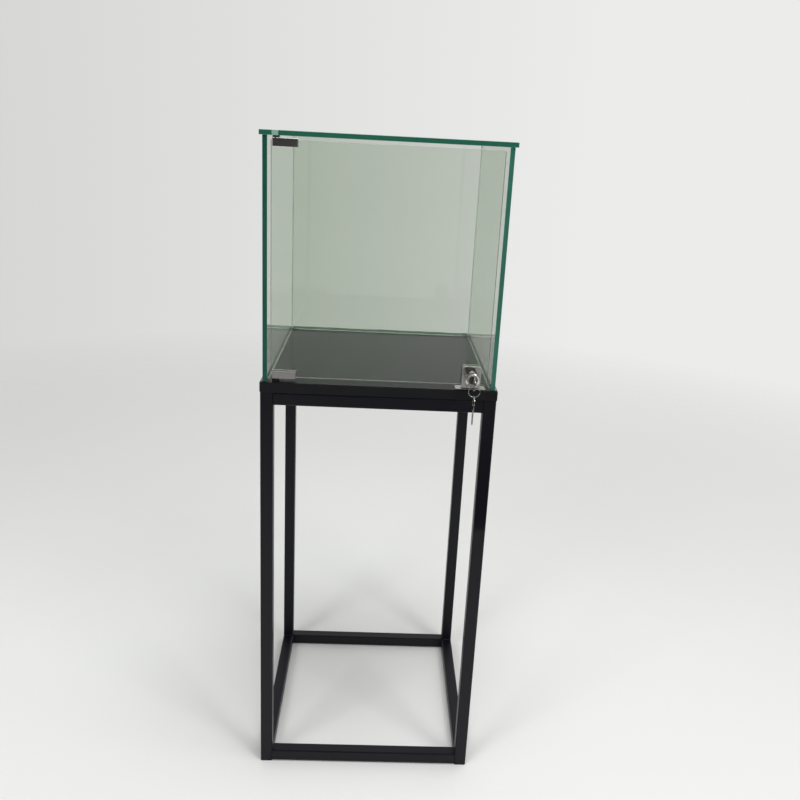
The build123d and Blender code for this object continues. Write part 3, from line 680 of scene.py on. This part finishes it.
def weld_seams():
    """Every seam in the frame's inner corners, where rails meet legs and each other."""
    bm = bmesh.new()
    draws = random.Random(11)
    rails = (("front", x_axis), ("rear", x_axis), ("left", y_axis), ("right", y_axis))
    for level, open_side in (("bottom", 1), ("top", -1)):
        for place, axis in rails:
            weld_rail_end(bm, f"{level}_{place}_rail", axis, open_side, draws)
        left_low, left_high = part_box(f"{level}_left_rail")
        front_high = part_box(f"{level}_front_rail")[1]
        for side_x in (-1, 1):
            for side_y in (-1, 1):
                corner = Vector((side_x * front_high.x, side_y * left_high.y, 0))
                start = corner + Vector((0, 0, left_low.z + tube_corner))
                finish = corner + Vector((0, 0, left_high.z - tube_corner))
                inwards_x = Vector((-side_x, 0, 0))
                inwards_y = Vector((0, -side_y, 0))
                weld(bm, start, finish, inwards_x, inwards_y, draws)
    mesh = mesh_of(bm, "weld_seams")
    smooth(mesh, 60.0)
    seams = new_piece("weld_seams", mesh, [black_steel])
    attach(seams, "stand")


weld_seams()


# ================================================================ ring and keys
def wire_outline(half_r, half_t):
    """A rounded rectangle across the ring's wire: points along and off its radius."""
    outline = []
    for quarter, (side_r, side_t) in enumerate(((1, 1), (-1, 1), (-1, -1), (1, -1))):
        for i in range(4):
            angle = math.radians(90 * quarter + 30 * i)
            outline.append((
                side_r * (half_r - ring_wire_corner) + ring_wire_corner * math.cos(angle),
                side_t * (half_t - ring_wire_corner) + ring_wire_corner * math.sin(angle),
            ))
    return outline


def split_ring():
    """The key ring: two turns of flattened wire, with a step where one becomes the next."""
    low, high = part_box("key_ring")
    middle = (low + high) / 2
    radius = (high.x - low.x - ring_wire) / 2
    turn_thickness = (high.y - low.y) / 2
    filled = 0.96  # the rest of a turn's thickness is the air between the two turns
    outline = wire_outline(ring_wire / 2, turn_thickness / 2 * filled)
    first = ring_end_gap
    last = math.radians(720) - ring_end_gap
    steps = 220
    sections = []
    for i in range(steps + 1):
        angle = first + (last - first) * i / steps
        share = (angle - math.radians(360)) / (2 * ring_end_gap) + 0.5
        share = min(1.0, max(0.0, share))
        eased = share * share * (3 - 2 * share)
        shift = turn_thickness * (eased - 0.5)
        outward = Vector((math.cos(angle), 0, math.sin(angle)))
        sections.append([
            middle + outward * (radius + r) + Vector((0, shift + t, 0)) for r, t in outline
        ])
    bm = bmesh.new()
    loft(bm, sections)
    mesh = mesh_of(bm, "split_ring")
    smooth(mesh, 40.0)
    ring = new_piece("split_ring", mesh, [ring_steel])
    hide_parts("key_ring")
    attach(ring, "key_ring")


def pressed_key(name, node, bow_centre):
    """A key with softened edges and a round recess pressed into each side of its bow."""
    low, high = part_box(node)
    cutter = bmesh.new()
    for face_x in (low.x, high.x):
        made = bmesh.ops.create_cone(
            cutter, cap_ends=True, segments=48, radius1=bow_recess_radius,
            radius2=bow_recess_radius, depth=2 * bow_recess_depth,
            matrix=Matrix.Rotation(math.radians(90), 4, "Y"),
        )
        place = Vector((face_x, bow_centre.y, bow_centre.z))
        bmesh.ops.translate(cutter, verts=made["verts"], vec=place)
    mesh = drill(nodes[node].data.copy(), mesh_of(cutter, "cutter"))
    blank = in_scene("blank", mesh)
    edge = blank.modifiers.new("edge", "BEVEL")
    edge.width = key_edge
    edge.segments = 2
    edge.angle_limit = math.radians(35)
    mesh = modified_mesh(blank)
    mesh.materials.clear()
    smooth(mesh, 20.0)
    piece = new_piece(name, mesh, [key_metal])
    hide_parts(node)
    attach(piece, node)


split_ring()
key_low, key_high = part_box("key")
spare_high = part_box("spare_key")[1]
bow_radius = (key_high.z - key_low.z) / 2
to_bow = Vector((0, bow_radius, bow_radius))  # from a corner of a key to its bow's centre
pressed_key("fitted_key", "key", key_low + to_bow)
pressed_key("hanging_key", "spare_key", spare_high - to_bow)


# ================================================================ floor
def floor_material():
    """A plain pale studio floor, which fades into the surround."""
    look = Shade("studio_floor")
    look.set(Specular_IOR_Level=0.2)
    away = look.add("ShaderNodeVectorMath")
    away.operation = "LENGTH"
    look.link(look.place, away.inputs[0])
    look.see_through(look.remap(away.outputs["Value"], *floor_fade))
    look.colour(look.mix(look.noise(1.5, 3.0), (0.80, 0.80, 0.795), (0.83, 0.83, 0.825)))
    look.roughness(look.remap(look.noise(30.0, 3.0), 0.3, 0.7, 0.7, 0.85))
    return look.material


def pale_floor():
    """The floor, a wide disc at the feet."""
    bm = bmesh.new()
    bmesh.ops.create_circle(bm, cap_ends=True, segments=128, radius=floor_radius)
    floor = new_piece("floor", flat_mesh_of(bm, "floor"), [floor_material()])


pale_floor()


# ================================================================ light
def studio_world():
    """Soft light from all round, dimmer in front than behind, and a pale backdrop.

    The backdrop is dimmer to the left, and more so where it is seen through the glass.
    """
    world = bpy.data.worlds.new("studio")
    scene.world = world
    world.use_nodes = True
    tree = world.node_tree
    add = tree.nodes.new
    link = tree.links.new
    tree.nodes.clear()
    output = add("ShaderNodeOutputWorld")
    background = add("ShaderNodeBackground")
    place = add("ShaderNodeTexCoord").outputs["Generated"]

    def towards(direction, low, high, dim, bright):
        """Blend two greys by how far a ray leans towards a direction."""
        lean = add("ShaderNodeVectorMath")
        ramp = add("ShaderNodeMapRange")
        blend = add("ShaderNodeMix")
        lean.operation = "DOT_PRODUCT"
        lean.inputs[1].default_value = direction
        ramp.inputs["From Min"].default_value = low
        ramp.inputs["From Max"].default_value = high
        blend.data_type = "RGBA"
        blend.inputs[mix_a].default_value = (*dim, 1.0)
        blend.inputs[mix_b].default_value = (*bright, 1.0)
        link(place, lean.inputs[0])
        link(lean.outputs["Value"], ramp.inputs["Value"])
        link(ramp.outputs["Result"], blend.inputs["Factor"])
        return blend.outputs[mix_result]

    right = (1, 0, 0)
    behind = (0.9, 0.95, 0.05)
    backdrop = towards(right, -0.45, 0.25, (0.74, 0.745, 0.735), (0.93, 0.93, 0.925))
    through = towards(right, -0.3, 0.25, (0.447, 0.495, 0.41), (0.89, 0.84, 0.89))
    shown = towards(behind, -0.9, 1.25, (0.32, 0.32, 0.30), (0.90, 0.90, 0.90))
    paths = add("ShaderNodeLightPath")
    for ray, seen in (("Is Camera Ray", backdrop), ("Is Transmission Ray", through)):
        either = add("ShaderNodeMix")
        either.data_type = "RGBA"
        link(paths.outputs[ray], either.inputs["Factor"])
        link(shown, either.inputs[mix_a])
        link(seen, either.inputs[mix_b])
        shown = either.outputs[mix_result]
    link(shown, background.inputs["Color"])
    background.inputs["Strength"].default_value = world_strength
    link(background.outputs["Background"], output.inputs["Surface"])


def softbox(name, place, target, size, power, mirrored):
    """A square soft light that faces a point; mirrored says that polished parts show it."""
    light = bpy.data.lights.new(name, "AREA")
    light.shape = "RECTANGLE"
    light.size, light.size_y = size
    light.energy = power
    lamp = in_scene(name, light)
    lamp.location = place
    lamp.visible_glossy = mirrored
    lamp.rotation_mode = "QUATERNION"
    lamp.rotation_quaternion = (Vector(target) - Vector(place)).to_track_quat("-Z", "Y")


def card_material(name, clear_left=0.0, clear_right=0.0):
    """Black card, of which a share lets light through below eye level.

    The share goes from clear_left to clear_right across the middle of the card.
    """
    look = Shade(name)
    mottle = look.remap(look.noise(14.0), 0.45, 0.7)
    look.colour(look.mix(mottle, (0.026, 0.021, 0.022), (0.11, 0.10, 0.105)))
    look.set(Roughness=0.8)
    place = look.axes(look.place)
    low_part = look.remap(place["Z"], 0.80, 0.95, 1.0, 0.0)
    share = look.remap(place["X"], -0.25, 0.22, clear_left, clear_right)
    look.see_through(look.maths("MULTIPLY", share, low_part))
    return look.material


def dark_card(name, material, low, high):
    """A dark rectangle between two corners, which only polished parts see."""
    bm = bmesh.new()
    corners = (low, (high[0], low[1], low[2]), high, (low[0], high[1], high[2]))
    bm.faces.new([bm.verts.new(corner) for corner in corners])
    card = new_piece(name, flat_mesh_of(bm, name), [material])
    for ray in ("camera", "diffuse", "transmission", "volume_scatter", "shadow"):
        setattr(card, f"visible_{ray}", False)


studio_world()
softbox(
    "overhead", place=(0.3, -0.5, 3.4), target=(0, 0, 0.9), size=(1.8, 1.2), power=42.0,
    mirrored=False,
)
softbox(
    "key", place=(-1.9, -2.3, 2.6), target=(0, 0, 0.8), size=(1.0, 1.4), power=30.0,
    mirrored=False,
)
softbox(
    "side", place=(1.5, -1.7, 2.7), target=(0, 0, 0.8), size=(0.7, 0.9), power=22.0,
    mirrored=True,
)

# One card stands behind the camera.  The other lies level, low in front of the lock.
back_black = card_material("back_card_black", clear_left=0.62, clear_right=0.75)
dark_card("back_card", back_black, low=(-3, -1.9, 0.1), high=(3, -1.9, 1.75))
low_black = card_material("low_card_black")
dark_card("low_card", low_black, low=(-0.02, -0.65, 0.5), high=(0.40, -0.215, 0.5))


# ================================================================ camera
def aim_camera():
    """Place the camera: turned by its yaw, tipped by its pitch, then rolled."""
    level = Matrix(((1, 0, 0), (0, 0, -1), (0, 1, 0)))
    yaw = Matrix.Rotation(camera_yaw, 3, "Z")
    pitch = Matrix.Rotation(camera_pitch, 3, "X")
    roll = Matrix.Rotation(camera_roll, 3, "Z")
    right, down, ahead = roll @ pitch @ level @ yaw
    data = bpy.data.cameras.new("camera")
    data.lens = camera_lens
    data.sensor_width = 36.0
    data.shift_x, data.shift_y = camera_shift
    data.clip_start, data.clip_end = 0.05, 100.0
    camera = in_scene("camera", data)
    turn = Matrix((right, -down, -ahead)).transposed().to_4x4()
    camera.matrix_world = Matrix.Translation(camera_place) @ turn
    scene.camera = camera


aim_camera()
scene.view_settings.view_transform = "Standard"
